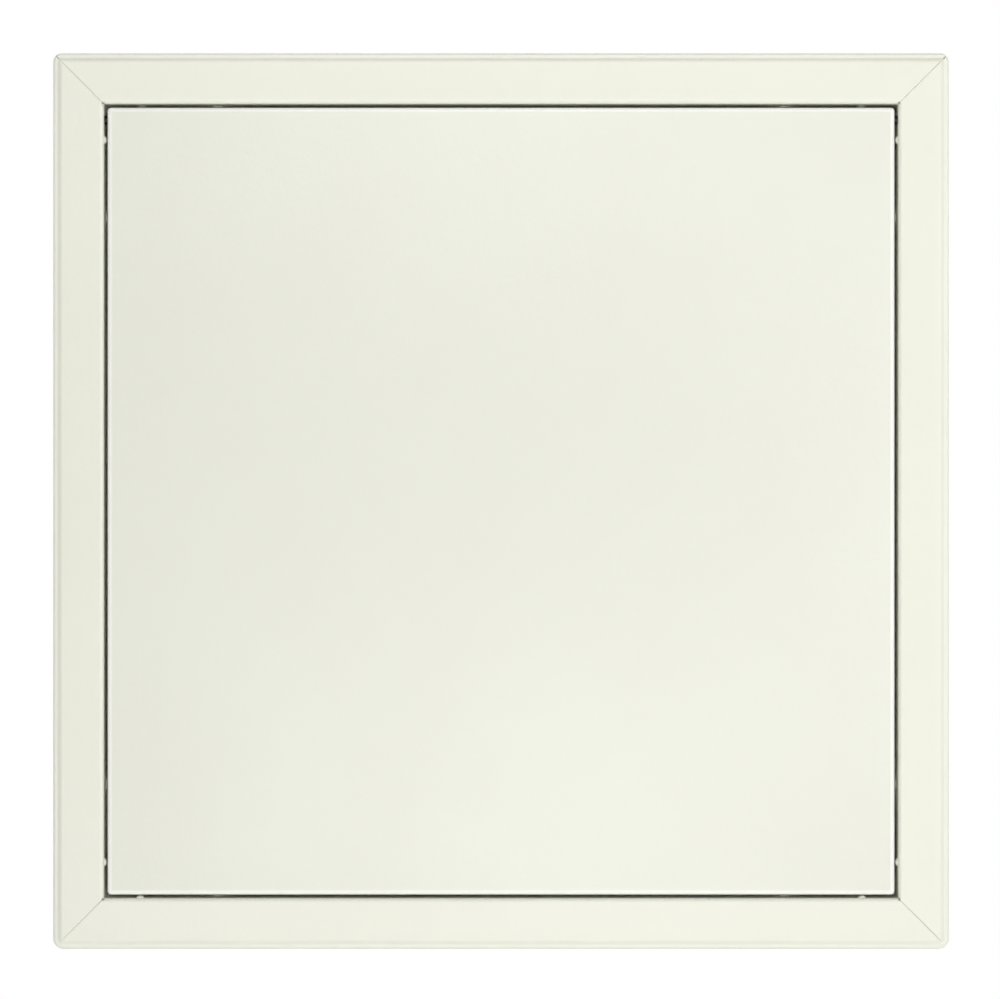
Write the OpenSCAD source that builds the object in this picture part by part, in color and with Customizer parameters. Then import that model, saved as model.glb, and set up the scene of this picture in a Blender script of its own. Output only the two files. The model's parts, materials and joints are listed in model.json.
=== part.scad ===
// Ceiling access panel: a mitred frame of rolled sheet steel with a flush folded door.
// X runs along the face to the right, Z up the face and Y back into the ceiling.
// Y = 0 is the ceiling surface that the hem of the frame lies on, and the opening is centred on X and Z.
// The door hangs on two sprung pins at its top edge, and two magnetic touch latches hold its bottom edge.

/* [Opening] */
// Clear width between the side jambs
opening_w = 390; // [320:1:600]
// Clear height between the top and bottom jambs
opening_h = 390; // [320:1:600]

/* [Frame] */
// Thickness of the frame's sheet
frame_t = 1; // [0.8:0.1:1.4]
// Width of the visible border
flange_w = 25; // [20:0.5:40]
// Height of the border's face above the ceiling
face_h = 6; // [5.5:0.1:8]
// Width of the low rim round the border
rim_w = 2.3; // [2.2:0.1:4]
// How far the rim lies behind the border's face
rim_drop = 1.15; // [0.8:0.05:1.5]
// Outside radius of the rim's outer edge
rim_r = 1.4; // [1.1:0.1:1.8]
// Width of the slope between border and rim
slope_w = 1.4; // [1.2:0.1:2.5]
// Width of the hem that lies on the ceiling
hem_w = 9; // [7:0.5:12]
// Outside radius of the soft bend between border and jamb
frame_bend_r = 2; // [1.6:0.1:3]
// Outside radius of the bend between jamb and stop lip
lip_bend_r = 2; // [1.6:0.1:3]
// Width of the lip that is left bare beyond the seal
lip_edge = 0.5; // [0.2:0.1:3]
// Open width of the mitre joints
mitre_gap = 0.3; // [0.1:0.05:0.6]
// Radius of the two upper outer corners in the face
corner_r_top = 4.2; // [2:0.1:8]
// Radius of the two lower outer corners in the face
corner_r_bottom = 5.3; // [2:0.1:8]
// Radius of the fixing holes in the jambs
fix_hole_r = 2.25; // [1.5:0.25:3]
// Distance between the two fixing holes of a jamb
fix_spacing = 280; // [180:5:300]
// Distance of the fixing holes behind the ceiling surface
fix_depth = 8; // [5:0.5:10]

/* [Corner cleats] */
// Thickness of the cleats
cleat_t = 1.5; // [1:0.1:2]
// Length of each cleat leg
cleat_leg = 28; // [24:1:40]
// Width of a cleat
cleat_w = 16; // [14:0.5:17]
// Distance of the clinch points from the opening's corners
clinch_from_corner = 17.5; // [16:0.5:20]
// Radius of a clinch bump where it leaves the jamb
clinch_r = 2.2; // [1.5:0.1:2.4]
// Height of a clinch bump
clinch_h = 1.2; // [0.6:0.1:1.3]
// Distance of the clinch points behind the face
clinch_depth = 4.5; // [4.4:0.1:6]
// Distance of the clinch points behind the face on the hinge side, where the door edge swings past
clinch_depth_hinge = 11.5; // [11:0.5:14]

/* [Door] */
// Thickness of the door's sheet
door_t = 1; // [0.8:0.1:1.4]
// Gap between the door and the frame
door_gap = 1.8; // [1.6:0.1:3]
// Depth of the folded tray
door_depth = 16; // [14:0.5:22]
// Outside radius of the tray's bends
door_bend_r = 1.8; // [1.5:0.1:2.5]
// Radius of the door's corners in the face
door_corner_r = 1.8; // [1.2:0.1:3]
// How far the return flanges reach past the stop lip
return_over = 1; // [0.5:0.5:5]
// Width of the open seams where two return flanges meet
seam_w = 0.5; // [0.3:0.1:1]

/* [Seal] */
// Width of the foam strips
seal_w = 6; // [4:0.5:10]
// Thickness of the foam strips
seal_t = 5.8; // [5:0.1:8]
// Radius of the two front edges of a strip
seal_edge_r = 1.2; // [0.5:0.1:1.8]
// Clearance between a strip and the closed door
seal_gap = 0.2; // [0.1:0.05:0.3]

/* [Hinge] */
// Radius of the hinge pins
pin_r = 2; // [1.5:0.1:2.5]
// Running clearance of a pin in its bush and bracket
pin_fit = 0.05; // [0.02:0.01:0.1]
// How far a pin reaches past the jamb's inner face
pin_reach = 4; // [3:0.5:6]
// Height of the cone on a pin's tip
pin_tip = 0.8; // [0.4:0.1:1.2]
// Wall thickness of the bushes
bush_wall = 0.9; // [0.6:0.1:1.5]
// Thickness of a bush's collar
bush_collar_t = 2; // [1:0.1:3]
// Length of the hinge brackets
bracket_len = 32; // [28:1:50]
// Sheet thickness of the hinge brackets
bracket_t = 1.2; // [1:0.1:1.6]
// Outside bend radius of the hinge brackets
bracket_bend_r = 1.7; // [1.4:0.1:2]
// Wall left round the spring in a bracket's ears
ear_wall = 0.9; // [0.5:0.1:2]
// Thickness of the retaining clips
clip_t = 1; // [0.6:0.1:1.5]
// Depth of the groove that holds a clip
clip_groove = 0.5; // [0.3:0.1:0.7]
// Wire diameter of the hinge springs
hinge_wire = 0.6; // [0.4:0.1:0.8]
// Number of turns of the hinge springs
hinge_turns = 9; // [6:1:12]
// Centre-line radius of the bend in a pin's finger handle
handle_bend_r = 4; // [3.5:0.5:8]
// Reach of a pin's finger handle from the pin's axis
handle_len = 27; // [22:1:40]
// Straight length between a bracket and the handle's bend
handle_stem = 3; // [1:0.5:8]

/* [Touch latches] */
// Distance between the two latches
latch_spacing = 220; // [120:5:240]
// Radius of a latch's barrel
barrel_r = 6; // [5.8:0.1:7]
// Length of a latch's barrel
barrel_len = 28; // [26:0.5:40]
// Wall thickness of the barrel
barrel_wall = 1.1; // [0.8:0.1:1.2]
// Length of a latch's mounting plate
latch_plate_len = 34; // [31:0.5:45]
// Thickness of a latch's mounting plate
latch_plate_t = 2.5; // [2:0.1:4]
// Width of the ribs' feet on the mounting plate
rib_w = 2; // [1:0.1:2.2]
// Height of the ribs between plate and barrel
rib_h = 7; // [4:0.5:12]
// Thickness of the ribs
rib_t = 1.4; // [1:0.1:2]
// Radius of a plunger's shaft
plunger_r = 3; // [2.5:0.1:3.3]
// Clearance of the moving plunger in its housing
plunger_fit = 0.3; // [0.2:0.05:0.4]
// Length of the plunger's guide collar
guide_len = 4; // [3:0.5:6]
// Travel that is left in front of the guide collar
guide_front = 4; // [3.5:0.5:6]
// Radius of the tail that centres the spring
tail_r = 2.2; // [1.5:0.1:2.4]
// Length of the tail that centres the spring
tail_len = 6; // [4:0.5:8]
// Radius of the magnet's cup
cup_r = 4.2; // [4:0.1:4.4]
// Thickness of the magnet's cup
cup_t = 2; // [1.9:0.1:2.4]
// Radius of a magnet
magnet_r = 3.4; // [2.5:0.1:3.5]
// Thickness of a magnet
magnet_t = 1.5; // [1:0.1:1.5]
// How far a magnet stands out of its cup
magnet_proud = 0.3; // [0.1:0.1:0.6]
// Clearance between a magnet and its strike plate
magnet_gap = 0.1; // [0.05:0.05:0.3]
// Wire diameter of the latch springs
latch_wire = 0.7; // [0.5:0.1:0.9]
// Number of turns of the latch springs
latch_turns = 7; // [5:1:9]
// Thickness of the rear caps
cap_t = 2; // [1.5:0.1:3]
// Length of a cap's spigot in the barrel
cap_spigot = 3; // [2:0.5:5]
// Radius of the latch screws' shanks
screw_r = 1.4; // [1:0.1:1.6]
// Radius of the latch screws' heads
screw_head_r = 2.6; // [2.2:0.1:2.7]
// Height of the latch screws' heads
screw_head_h = 1.8; // [1.4:0.1:2.5]
// Length of a latch screw in front of the stop lip
screw_point = 1; // [0.5:0.1:1.5]

/* [Strike plates] */
// Length of a strike plate
strike_len = 32; // [28:1:50]
// Width of a strike plate
strike_w = 9; // [8.6:0.1:11]
// Thickness of a strike plate
strike_t = 1; // [0.8:0.1:1.4]
// Bare width beside a strike plate
strike_edge = 0.7; // [0.3:0.1:2]
// Radius of the strike plates' rivets
rivet_r = 1.5; // [1:0.1:1.8]
// Radius of a rivet's head
rivet_head_r = 2.6; // [2.2:0.1:3.2]
// Height of a rivet's head
rivet_head_h = 0.9; // [0.6:0.1:1.1]
// Distance of a rivet from the end of its plate
rivet_edge = 4.5; // [3:0.5:6]

/* [Hidden] */
$fn = 64;

// Finishes
paint = [0.93, 0.93, 0.88];
zinc = [0.74, 0.76, 0.77];
steel = [0.62, 0.63, 0.65];
black_steel = [0.12, 0.12, 0.13];
foam = [0.13, 0.13, 0.14];
nylon = [0.86, 0.86, 0.84];
housing_grey = [0.55, 0.57, 0.58];
magnet_grey = [0.35, 0.36, 0.38];

// Sides of the panel, and the two ends of anything that comes in pairs
TOP = 0;
RIGHT = 1;
BOTTOM = 2;
LEFT = 3;
ENDS = [-1, 1];

// Clearance of a piece that is fixed in or on its neighbour
seat_fit = 0.05;
// Clearance of a hole that a fastener or a pin only passes through
pass_fit = 0.2;
// Length by which a cutter overshoots what it cuts
over = 1;

// Depth positions along Y
face_y = -face_h;
rim_y = face_y + rim_drop;
door_back_y = face_y + door_depth;
strike_back_y = door_back_y + strike_t;
lip_front_y = door_back_y + seal_gap + seal_t;
lip_back_y = lip_front_y + frame_t;

// The door's outline
door_w = opening_w - 2 * door_gap;
door_h = opening_h - 2 * door_gap;

// Hinge hardware, from the pin outwards, and the axis that it leads to
hinge_coil_r = pin_r + pass_fit + hinge_wire / 2;
clip_r = hinge_coil_r + hinge_wire / 2 + 2 * seat_fit;
ear_r = clip_r + ear_wall;
bush_r = pin_r + pin_fit + bush_wall;
hinge_inset = max(door_bend_r, door_corner_r) + ear_r + pass_fit;
hinge_y = face_y + door_t + bracket_bend_r + clip_r;
hinge_z = door_h / 2 - hinge_inset;
// A bush's collar just clears the back of the border
bush_collar_r = hinge_y - face_y - frame_t - pass_fit;

// Places along a pin, measured inwards from the jamb's inner face
wall_x = door_gap + door_t;
clip_x = wall_x + bracket_t + 2 * seat_fit;
spring_x = clip_x + clip_t + seat_fit;
inner_ear_x = wall_x + bracket_len - bracket_t;
handle_x = wall_x + bracket_len + handle_stem;

// Places across the stop lip, measured inwards from the jamb's inner face
latch_inset = door_gap + door_bend_r + strike_edge + strike_w / 2;
strike_limit = latch_inset + strike_w / 2 + strike_edge;
swing_limit = door_gap + 2 * hinge_inset + strike_edge;
seal_inset = max(strike_limit, swing_limit);
lip_w = seal_inset + seal_w + lip_edge;
return_w = lip_w - door_gap + return_over;

// Sphere that a clinch bump is a cap of
clinch_ball_r = (clinch_r * clinch_r + clinch_h * clinch_h) / (2 * clinch_h);
cleat_front_y = face_y + frame_bend_r;

// Places along a latch, in depth
bore_r = barrel_r - barrel_wall;
magnet_y = strike_back_y + magnet_gap;
cup_back_y = magnet_y + cup_t;
latch_plate_y = lip_back_y + latch_plate_t;
barrel_end_y = latch_plate_y + barrel_len;
bore_front_y = latch_plate_y + barrel_wall;
guide_y = bore_front_y + guide_front;
guide_end_y = guide_y + guide_len;
latch_screw_x = (latch_plate_len - 2 * barrel_r) / 2;
latch_coil_r = (tail_r + bore_r) / 2;
rivet_x = strike_len / 2 - rivet_edge;

// Facets of the coil springs: sides of the wire and steps of each turn
wire_sides = 6;
turn_steps = 12;
// Pitch of a spring's closed end turns, in wire diameters
end_pitch = 1.25;

function side_run(side) = side % 2 == 0 ? opening_w : opening_h;
function side_reach(side) = (side % 2 == 0 ? opening_h : opening_w) / 2;
// An end of a side stick is an upper corner of the frame if it points up
function end_corner_r(side, end) =
    side == TOP || (side == LEFT && end > 0) || (side == RIGHT && end < 0) ? corner_r_top : corner_r_bottom;
function clinch_y(side) = face_y + (side == TOP ? clinch_depth_hinge : clinch_depth);

// Local frame of a side: X along the side, Z outwards from the given reach, Y as in the panel
module on_side(side, reach) {
    rotate([0, 90 * side, 0]) translate([0, 0, reach]) children();
}

// A piece drawn for the left, or its mirror image for the right
module for_end(end) {
    if (end > 0) mirror([1, 0, 0]) children();
    else children();
}

// A piece drawn for the top, or its mirror image for the bottom
module for_level(up) {
    if (up < 0) mirror([0, 0, 1]) children();
    else children();
}

// Local frame of a hinge pin on the left: X inwards from the jamb's inner face along the pin
module at_hinge(end) {
    for_end(end) translate([-opening_w / 2, hinge_y, hinge_z]) children();
}

// Local frame of a latch: Z is the panel's depth along Y, X runs along the bottom lip
module at_latch(end) {
    translate([end * latch_spacing / 2, 0, latch_inset - opening_h / 2]) rotate([-90, 0, 0]) children();
}

// A sheet profile drawn as outward distance and depth, run along a side between two places
module run_between(start, end) {
    translate([end, 0, 0]) rotate([0, -90, 0]) linear_extrude(end - start) children();
}

// The same profile turned a quarter round an upper right corner; it starts at the corner's centre
module turn_corner(r) {
    rotate([-90, 0, 0]) rotate(-90) rotate_extrude(angle = 90) intersection() {
        children();
        translate([0, face_y - over]) square([r + over, lip_back_y - face_y + 2 * over]);
    }
}

// A shape drawn in the face's plane, extruded between two depths
module run_deep(y_front, y_back) {
    translate([0, y_back, 0]) rotate([90, 0, 0]) linear_extrude(y_back - y_front) children();
}

// A cylinder along X, from x = 0 inwards
module rod(r, length) {
    rotate([0, 90, 0]) cylinder(r = r, h = length);
}

// Quarter bend of sheet: outside radius r, in the quadrant that the two signs give
module bend(r, t, out_sign, deep_sign) {
    intersection() {
        difference() {
            circle(r);
            if (r > t) circle(r - t);
        }
        translate([out_sign < 0 ? -r : 0, deep_sign < 0 ? -r : 0]) square(r);
    }
}

// Outline between two 45 degree mitres, seen on the face, for a strip from one reach to another
module mitre_outline(run, inside, outside, cut) {
    in_half = run / 2 - inside - over - cut;
    out_half = run / 2 + outside + over - cut;
    polygon([
        [-in_half, -inside - over], [in_half, -inside - over],
        [out_half, outside + over], [-out_half, outside + over]
    ]);
}

// Bar with round ends, centred
module round_bar(length, width) {
    square([length - width, width], center = true);
    for (end = ENDS) translate([end * (length - width) / 2, 0]) circle(width / 2);
}

// Coil spring along X with closed end turns
module coil(length, coil_r, wire, turns) {
    steps = turns * turn_steps;
    end_rise = end_pitch * wire;
    active_rise = (length - wire - 2 * end_rise) / (turns - 2);
    function rise(turn) =
        wire / 2 + min(turn, 1) * end_rise + max(0, min(turn - 1, turns - 2)) * active_rise
        + max(0, turn - turns + 1) * end_rise;
    points = [
        for (k = [0 : steps], j = [0 : wire_sides - 1])
            let (
                around = 360 * k / turn_steps,
                across = 360 * j / wire_sides,
                r = coil_r + wire / 2 * cos(across)
            )
            [rise(k / turn_steps) + wire / 2 * sin(across), r * cos(around), r * sin(around)]
    ];
    skin = [
        for (k = [0 : steps - 1], j = [0 : wire_sides - 1])
            let (
                here = k * wire_sides,
                there = here + wire_sides,
                next = (j + 1) % wire_sides
            )
            each [[here + j, there + j, there + next], [here + j, there + next, here + next]]
    ];
    start_cap = [for (j = [0 : wire_sides - 1]) j];
    end_cap = [for (j = [wire_sides - 1 : -1 : 0]) steps * wire_sides + j];
    polyhedron(points, concat([start_cap], skin, [end_cap]));
}

// Face of the frame's section: the flat border, the slope and the rim, as far as the outer bend
module face_profile() {
    slope_out = flange_w - rim_w;
    slope_in = slope_out - slope_w;
    rim_end = flange_w - rim_r;
    back_shift = frame_t * tan(atan2(rim_drop, slope_w) / 2);
    polygon([
        [frame_bend_r, face_y], [slope_in, face_y], [slope_out, rim_y], [rim_end, rim_y],
        [rim_end, rim_y + frame_t], [slope_out - back_shift, rim_y + frame_t],
        [slope_in - back_shift, face_y + frame_t], [frame_bend_r, face_y + frame_t]
    ]);
}

// Rolled section of the frame: hem, outer wall, face, jamb and stop lip
module frame_profile() {
    translate([flange_w - hem_w, -frame_t]) square([hem_w - frame_t, frame_t]);
    translate([flange_w - frame_t, -frame_t]) bend(frame_t, frame_t, 1, 1);
    translate([flange_w - frame_t, rim_y + rim_r]) square([frame_t, -frame_t - rim_y - rim_r]);
    translate([flange_w - rim_r, rim_y + rim_r]) bend(rim_r, frame_t, 1, -1);
    face_profile();
    translate([frame_bend_r, cleat_front_y]) bend(frame_bend_r, frame_t, -1, -1);
    translate([0, cleat_front_y]) square([frame_t, lip_back_y - lip_bend_r - cleat_front_y]);
    translate([frame_t - lip_bend_r, lip_back_y - lip_bend_r]) bend(lip_bend_r, frame_t, 1, 1);
    translate([-lip_w, lip_front_y]) square([lip_w + frame_t - lip_bend_r, frame_t]);
}

// Bump that the clinch tool presses into the gap, on the jamb's inner face
module clinch_bump() {
    intersection() {
        translate([0, 0, clinch_ball_r - clinch_h]) sphere(clinch_ball_r);
        translate([-clinch_ball_r, -clinch_ball_r, -clinch_h - over])
            cube([2 * clinch_ball_r, 2 * clinch_ball_r, clinch_h + over + frame_t / 2]);
    }
}

// Holes that only the side jambs have, for the hinge bushes
module bush_hole(side) {
    up = side == LEFT ? 1 : -1;
    translate([up * hinge_z, hinge_y, -over]) cylinder(r = bush_r + seat_fit, h = frame_t + 2 * over);
}

// Holes that only the bottom lip has, for the plungers and the latch screws
module latch_holes() {
    for (end = ENDS) {
        translate([end * latch_spacing / 2, lip_front_y - over, -latch_inset]) rotate([-90, 0, 0]) {
            cylinder(r = cup_r + 2 * pass_fit, h = frame_t + 2 * over);
            for (ear = ENDS) translate([ear * latch_screw_x, 0, 0])
                cylinder(r = screw_r + seat_fit, h = frame_t + 2 * over);
        }
    }
}

// A stick's rim follows the rounded outer corners as far as the mitres
module frame_stick(side) {
    run = side_run(side);
    function turn_x(end) = run / 2 + flange_w - end_corner_r(side, end);
    color(paint) on_side(side, side_reach(side)) difference() {
        union() {
            intersection() {
                union() {
                    run_between(-turn_x(-1), turn_x(1)) frame_profile();
                    for (end = ENDS) {
                        corner_r = end_corner_r(side, end);
                        for_end(-end) translate([turn_x(end), 0, flange_w - corner_r])
                            turn_corner(corner_r) translate([corner_r - flange_w, 0]) frame_profile();
                    }
                }
                run_deep(face_y - over, lip_back_y + over)
                    mitre_outline(run, lip_w, flange_w, mitre_gap / sqrt(2));
            }
            for (end = ENDS)
                translate([end * (run / 2 - clinch_from_corner), clinch_y(side), 0]) clinch_bump();
        }
        for (end = ENDS) translate([end * fix_spacing / 2, fix_depth, -over])
            cylinder(r = fix_hole_r, h = frame_t + 2 * over);
        if (side == LEFT || side == RIGHT) bush_hole(side);
        if (side == BOTTOM) latch_holes();
    }
}

// L-shaped cleat behind a frame corner, drawn for the right; up is 1 for a top corner
module corner_cleat(end, up) {
    corner_x = opening_w / 2 + frame_t;
    corner_z = opening_h / 2 + frame_t;
    dent = clinch_ball_r - clinch_h + frame_t + cleat_t;
    flat_side = up > 0 ? TOP : BOTTOM;
    color(zinc) for_end(-end) difference() {
        for_level(up) run_deep(cleat_front_y, cleat_front_y + cleat_w) {
            translate([corner_x - cleat_leg, corner_z]) square([cleat_leg, cleat_t]);
            translate([corner_x, corner_z - cleat_leg]) square([cleat_t, cleat_leg]);
            translate([corner_x, corner_z]) bend(cleat_t, cleat_t, 1, 1);
        }
        for_level(up)
            translate([opening_w / 2 - clinch_from_corner, clinch_y(flat_side), opening_h / 2 + dent])
                sphere(clinch_ball_r);
        for_level(up) translate([opening_w / 2 + dent, clinch_y(RIGHT), opening_h / 2 - clinch_from_corner])
            sphere(clinch_ball_r);
        if (up > 0) translate([corner_x - over, hinge_y, hinge_z])
            rod(bush_r + seat_fit, cleat_t + 2 * over);
    }
}

// Foam strip on the stop lip; the side strips fit between the top and bottom ones
module gasket(side) {
    length = side_run(side) - 2 * seal_inset - (side % 2 == 0 ? 0 : 2 * seal_w);
    color(foam) on_side(side, side_reach(side) - seal_inset - seal_w) run_between(-length / 2, length / 2)
        translate([0, lip_front_y - seal_t]) {
            translate([0, seal_edge_r]) square([seal_w, seal_t - seal_edge_r]);
            translate([seal_edge_r, 0]) square([seal_w - 2 * seal_edge_r, seal_edge_r]);
            for (x = [seal_edge_r, seal_w - seal_edge_r]) translate([x, seal_edge_r]) circle(seal_edge_r);
        }
}

// Flanged bush through the side jamb and the cleat behind it
module hinge_bush(end) {
    wall = frame_t + cleat_t;
    color(nylon) at_hinge(end) difference() {
        union() {
            translate([-wall, 0, 0]) rod(bush_r, wall);
            translate([-wall - bush_collar_t, 0, 0]) rod(bush_collar_r, bush_collar_t);
        }
        translate([-wall - bush_collar_t - over, 0, 0]) rod(pin_r + pin_fit, wall + bush_collar_t + 2 * over);
    }
}

// Section of the tray's edge, measured from the door's outline: front bend, wall, rear bend and return
module door_edge_profile() {
    translate([-door_bend_r, face_y + door_bend_r]) bend(door_bend_r, door_t, 1, -1);
    translate([-door_t, face_y + door_bend_r]) square([door_t, door_depth - 2 * door_bend_r]);
    translate([-door_bend_r, door_back_y - door_bend_r]) bend(door_bend_r, door_t, 1, 1);
    translate([-return_w, door_back_y - door_t]) square([return_w - door_bend_r, door_t]);
}

// Folded tray: a flat face, four edges and four drawn corners, with open seams between the return flanges
module door_leaf() {
    turn_x = door_w / 2 - door_corner_r;
    turn_z = door_h / 2 - door_corner_r;
    flat_r = door_corner_r - door_bend_r;
    color(paint) difference() {
        union() {
            difference() {
                translate([door_bend_r - door_w / 2, face_y, door_bend_r - door_h / 2])
                    cube([door_w - 2 * door_bend_r, door_t, door_h - 2 * door_bend_r]);
                if (flat_r > 0) for (end = ENDS, up = ENDS) for_end(-end) for_level(up)
                    translate([turn_x, face_y - over, turn_z])
                        cube([door_corner_r, door_t + 2 * over, door_corner_r]);
            }
            for (side = [TOP, RIGHT, BOTTOM, LEFT]) {
                run = side_run(side) - 2 * door_gap;
                straight = run - 2 * door_corner_r;
                on_side(side, side_reach(side) - door_gap) intersection() {
                    run_between(-straight / 2, straight / 2) door_edge_profile();
                    run_deep(face_y - over, door_back_y + over) mitre_outline(run, return_w, 0, 0);
                }
            }
            for (end = ENDS, up = ENDS) for_end(-end) for_level(up) translate([turn_x, 0, turn_z])
                turn_corner(door_corner_r) {
                    translate([door_corner_r, 0]) door_edge_profile();
                    if (flat_r > 0) translate([0, face_y]) square([flat_r, door_t]);
                }
        }
        for (end = ENDS, up = ENDS) for_end(-end) for_level(up)
            translate([door_w / 2, door_back_y, door_h / 2]) rotate([0, 45, 0])
                translate([-seam_w / 2, -door_t - seat_fit, -sqrt(2) * (return_w + over)])
                    cube([seam_w, door_t + over, sqrt(2) * (return_w + over - door_bend_r)]);
        for (end = ENDS) {
            at_hinge(end) translate([door_gap - over, 0, 0]) rod(pin_r + pass_fit, door_t + 2 * over);
            at_latch(end) for (ear = ENDS) translate([ear * rivet_x, 0, door_back_y - door_t - over])
                cylinder(r = rivet_r + seat_fit, h = door_t + 2 * over);
        }
    }
}

// U-shaped bracket welded into an upper corner of the tray, with round ears that guide the pin
module hinge_bracket(end) {
    base = hinge_y - face_y - door_t;
    color(zinc) at_hinge(end) translate([wall_x, 0, 0]) difference() {
        intersection() {
            translate([0, -base, -ear_r]) linear_extrude(2 * ear_r) {
                translate([bracket_bend_r, 0]) square([bracket_len - 2 * bracket_bend_r, bracket_t]);
                for (x = [0, bracket_len - bracket_t])
                    translate([x, bracket_bend_r]) square([bracket_t, base + ear_r - bracket_bend_r]);
                translate([bracket_bend_r, bracket_bend_r]) bend(bracket_bend_r, bracket_t, -1, -1);
                translate([bracket_len - bracket_bend_r, bracket_bend_r])
                    bend(bracket_bend_r, bracket_t, 1, -1);
            }
            rotate([0, 90, 0]) linear_extrude(bracket_len) {
                circle(ear_r);
                translate([-ear_r, -base]) square([2 * ear_r, base]);
            }
        }
        translate([-over, 0, 0]) rod(pin_r + pin_fit, bracket_len + 2 * over);
    }
}

// Sprung hinge pin with a coned tip, a groove for its clip and a bent finger handle
module hinge_pin(end) {
    straight = handle_x + pin_reach - pin_tip;
    color(black_steel) at_hinge(end) difference() {
        union() {
            translate([-pin_reach, 0, 0]) rotate([0, 90, 0])
                cylinder(r1 = pin_r - pin_tip, r2 = pin_r, h = pin_tip);
            translate([pin_tip - pin_reach, 0, 0]) rod(pin_r, straight);
            translate([handle_x, 0, -handle_bend_r]) rotate([90, 0, 0])
                rotate_extrude(angle = 90) translate([handle_bend_r, 0]) circle(pin_r);
            translate([handle_x + handle_bend_r, 0, -handle_len]) {
                cylinder(r = pin_r, h = handle_len - handle_bend_r);
                sphere(pin_r);
            }
        }
        translate([clip_x - seat_fit, 0, 0]) difference() {
            rod(pin_r + over, clip_t + 2 * seat_fit);
            translate([-over, 0, 0]) rod(pin_r - clip_groove, clip_t + 2 * over);
        }
    }
}

// Retaining clip in the pin's groove, open to the back
module pin_clip(end) {
    bore = pin_r - clip_groove + seat_fit;
    color(steel) at_hinge(end) translate([clip_x, 0, 0]) difference() {
        rod(clip_r, clip_t);
        translate([-over, 0, 0]) rod(bore, clip_t + 2 * over);
        translate([-over, 0, -bore]) cube([clip_t + 2 * over, clip_r + over, 2 * bore]);
    }
}

// Spring between the pin's clip and the bracket's inner ear
module hinge_spring(end) {
    color(steel) at_hinge(end) translate([spring_x, 0, 0])
        coil(inner_ear_x - seat_fit - spring_x, hinge_coil_r, hinge_wire, hinge_turns);
}

// Housing of a touch latch: mounting plate, ribs and a barrel with a bore for the plunger
module latch_housing(end) {
    color(housing_grey) at_latch(end) difference() {
        union() {
            translate([0, 0, lip_back_y]) linear_extrude(latch_plate_t)
                round_bar(latch_plate_len, 2 * barrel_r);
            translate([0, 0, latch_plate_y]) cylinder(r = barrel_r, h = barrel_len);
            for (ear = ENDS) mirror([ear < 0 ? 1 : 0, 0, 0]) rotate([90, 0, 0])
                translate([barrel_r - barrel_wall / 2, latch_plate_y]) linear_extrude(rib_t, center = true)
                    polygon([[0, 0], [rib_w + barrel_wall / 2, 0], [0, rib_h]]);
        }
        translate([0, 0, bore_front_y]) cylinder(r = bore_r, h = barrel_len);
        translate([0, 0, lip_back_y - over])
            cylinder(r = plunger_r + plunger_fit, h = bore_front_y - lip_back_y + 2 * over);
        for (ear = ENDS) translate([ear * latch_screw_x, 0, lip_back_y - over])
            cylinder(r = screw_r + pass_fit, h = latch_plate_t + 2 * over);
    }
}

// Cap that closes the rear of a latch's barrel
module latch_cap(end) {
    color(housing_grey) at_latch(end) {
        translate([0, 0, barrel_end_y]) cylinder(r1 = barrel_r, r2 = barrel_r - barrel_wall, h = cap_t);
        translate([0, 0, barrel_end_y - cap_spigot]) cylinder(r = bore_r - seat_fit, h = cap_spigot);
    }
}

// Pan-head screws that hold the two latches to the stop lip
module latch_screws() {
    slot = screw_head_r / 4;
    color(steel) for (end = ENDS, ear = ENDS) at_latch(end) translate([ear * latch_screw_x, 0, 0]) {
        translate([0, 0, lip_front_y - screw_point])
            cylinder(r = screw_r, h = latch_plate_y - lip_front_y + screw_point);
        translate([0, 0, latch_plate_y]) difference() {
            cylinder(r1 = screw_head_r, r2 = screw_head_r - screw_head_h / 2, h = screw_head_h);
            for (turn = [0, 90]) rotate(turn) translate([-screw_head_r / 2, -slot / 2, screw_head_h / 2])
                cube([screw_head_r, slot, screw_head_h]);
        }
    }
}

// Plunger with the magnet's cup in front, a guide collar in the bore and a tail for the spring
module latch_plunger(end) {
    color(nylon) at_latch(end) difference() {
        union() {
            translate([0, 0, magnet_y + magnet_proud]) cylinder(r = cup_r, h = cup_t - magnet_proud);
            translate([0, 0, cup_back_y]) cylinder(r = plunger_r, h = guide_y - cup_back_y);
            translate([0, 0, guide_y]) cylinder(r = bore_r - plunger_fit, h = guide_len);
            translate([0, 0, guide_end_y]) cylinder(r = tail_r, h = tail_len);
        }
        translate([0, 0, magnet_y]) cylinder(r = magnet_r + seat_fit, h = magnet_t);
    }
}

// Disc magnet in the plunger's cup
module magnet(end) {
    color(magnet_grey) at_latch(end) translate([0, 0, magnet_y]) cylinder(r = magnet_r, h = magnet_t);
}

// Spring between the plunger's guide collar and the rear cap
module latch_spring(end) {
    length = barrel_end_y - cap_spigot - guide_end_y - 2 * seat_fit;
    color(steel) at_latch(end) translate([0, 0, guide_end_y + seat_fit]) rotate([0, -90, 0])
        coil(length, latch_coil_r, latch_wire, latch_turns);
}

// Steel plate on the door's return flange that a magnet holds
module strike_plate(end) {
    color(zinc) at_latch(end) translate([0, 0, door_back_y]) linear_extrude(strike_t) difference() {
        round_bar(strike_len, strike_w);
        for (ear = ENDS) translate([ear * rivet_x, 0]) circle(rivet_r + seat_fit);
    }
}

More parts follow.
